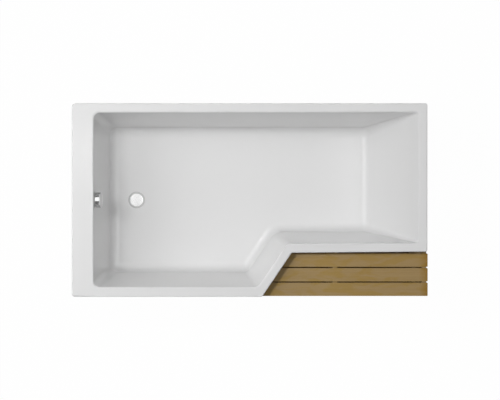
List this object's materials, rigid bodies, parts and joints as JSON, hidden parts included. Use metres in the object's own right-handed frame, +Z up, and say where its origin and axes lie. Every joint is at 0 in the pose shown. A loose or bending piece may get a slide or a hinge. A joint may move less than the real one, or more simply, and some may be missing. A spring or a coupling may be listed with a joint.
{
  "type": "acrylic shower bath",
  "caption": "Acrylic shower bath with a cut-away corner, a slatted wooden deck in the cut-away, a pop-up waste with a turning overflow knob, and levelling feet.",
  "frame": {"origin": "on the room floor, under the centre of the footprint of tub and deck", "axes": "+X along the length from the tap end to the head end, +Y to the back edge against the wall, +Z up; the cut-away and the deck are on the -Y side"},
  "size_m": [1.708, 0.925, 0.58],
  "materials": {
    "acrylic": "gloss white sanitary acrylic",
    "panel_acrylic": "gloss white acrylic sheet",
    "chipboard": "raw chipboard",
    "frame_timber": "planed softwood",
    "deck_wood": "oiled weathered hardwood, satin",
    "zinc_steel": "zinc-plated steel",
    "chrome": "polished chrome",
    "brass": "turned brass",
    "rubber": "black rubber",
    "black_plastic": "moulded black plastic",
    "white_plastic": "moulded white polypropylene",
    "hose_plastic": "ribbed grey-white hose",
    "cable_sheath": "black plastic sheath"
  },
  "bodies": {
    "tub": {"acrylic_shell": "acrylic", "base_board": "chipboard", "batten_front": "frame_timber", "batten_diagonal": "frame_timber", "batten_recess": "frame_timber", "batten_right": "frame_timber", "batten_back": "frame_timber", "batten_left": "frame_timber", "rail_left": "zinc_steel", "rail_middle": "zinc_steel", "rail_right": "zinc_steel", "rail_nuts": "zinc_steel", "frame_screws": "zinc_steel", "wall_brackets": "zinc_steel", "front_panel": "panel_acrylic", "panel_brackets": "zinc_steel", "waste_seal": "rubber", "waste_flange": "chrome", "waste_gasket": "rubber", "waste_body": "white_plastic", "trap_nuts": "white_plastic", "trap_bend": "white_plastic", "outlet_elbow": "white_plastic", "overflow_seal": "rubber", "overflow_housing": "white_plastic", "overflow_faceplate": "chrome", "overflow_hose": "hose_plastic", "hose_nuts": "white_plastic", "bowden_cable": "cable_sheath"},
    "overflow_knob": {"overflow_knob": "chrome", "knob_spindle": "brass"},
    "plug": {"plug_cap": "chrome", "plug_seal": "rubber", "plug_stem": "brass"},
    "lift_lever": {"lift_lever": "brass"},
    "deck": {"slat_1": "deck_wood", "slat_2": "deck_wood", "slat_3": "deck_wood", "cross_batten_end": "deck_wood", "cross_batten_middle": "deck_wood", "cross_batten_diagonal": "deck_wood", "posts_end": "deck_wood", "posts_middle": "deck_wood", "posts_left": "deck_wood", "deck_stretcher": "deck_wood", "deck_glides": "rubber"},
    "foot_1": {"foot_rod_1": "zinc_steel", "foot_pad_1": "black_plastic"},
    "foot_2": {"foot_rod_2": "zinc_steel", "foot_pad_2": "black_plastic"},
    "foot_3": {"foot_rod_3": "zinc_steel", "foot_pad_3": "black_plastic"},
    "foot_4": {"foot_rod_4": "zinc_steel", "foot_pad_4": "black_plastic"},
    "foot_5": {"foot_rod_5": "zinc_steel", "foot_pad_5": "black_plastic"},
    "foot_6": {"foot_rod_6": "zinc_steel", "foot_pad_6": "black_plastic"}
  },
  "joints": [
    {"name": "knob_turn", "type": "hinge", "parent": "tub", "child": "overflow_knob", "pos_m": [-0.74575, 0, 0.532], "axis": [0.9945, 0, 0.1045], "range_deg": [0, 90]},
    {"name": "plug_lift", "type": "slide", "parent": "tub", "child": "plug", "axis": [0, 0, 1], "range_m": [0, 0.012]},
    {"name": "lever_lift", "type": "hinge", "parent": "tub", "child": "lift_lever", "pos_m": [-0.5575, 0, 0.1115], "axis": [0, 1, 0], "range_deg": [0, 30]},
    {"name": "foot_1_screw", "type": "slide", "parent": "tub", "child": "foot_1", "axis": [0, 0, -1], "range_m": [-0.005, 0.025]},
    {"name": "foot_2_screw", "type": "slide", "parent": "tub", "child": "foot_2", "axis": [0, 0, -1], "range_m": [-0.005, 0.025]},
    {"name": "foot_3_screw", "type": "slide", "parent": "tub", "child": "foot_3", "axis": [0, 0, -1], "range_m": [-0.005, 0.025]},
    {"name": "foot_4_screw", "type": "slide", "parent": "tub", "child": "foot_4", "axis": [0, 0, -1], "range_m": [-0.005, 0.025]},
    {"name": "foot_5_screw", "type": "slide", "parent": "tub", "child": "foot_5", "axis": [0, 0, -1], "range_m": [-0.005, 0.025]},
    {"name": "foot_6_screw", "type": "slide", "parent": "tub", "child": "foot_6", "axis": [0, 0, -1], "range_m": [-0.005, 0.025]},
    {"name": "deck_pull_out", "type": "slide", "parent": "tub", "child": "deck", "axis": [0, -1, 0], "range_m": [0, 0.25]}
  ],
  "couplings": [
    {"joint": "plug_lift", "follows": "knob_turn", "m_per_rad": 0.0076394},
    {"joint": "lever_lift", "follows": "knob_turn", "ratio": 0.33333}
  ]
}
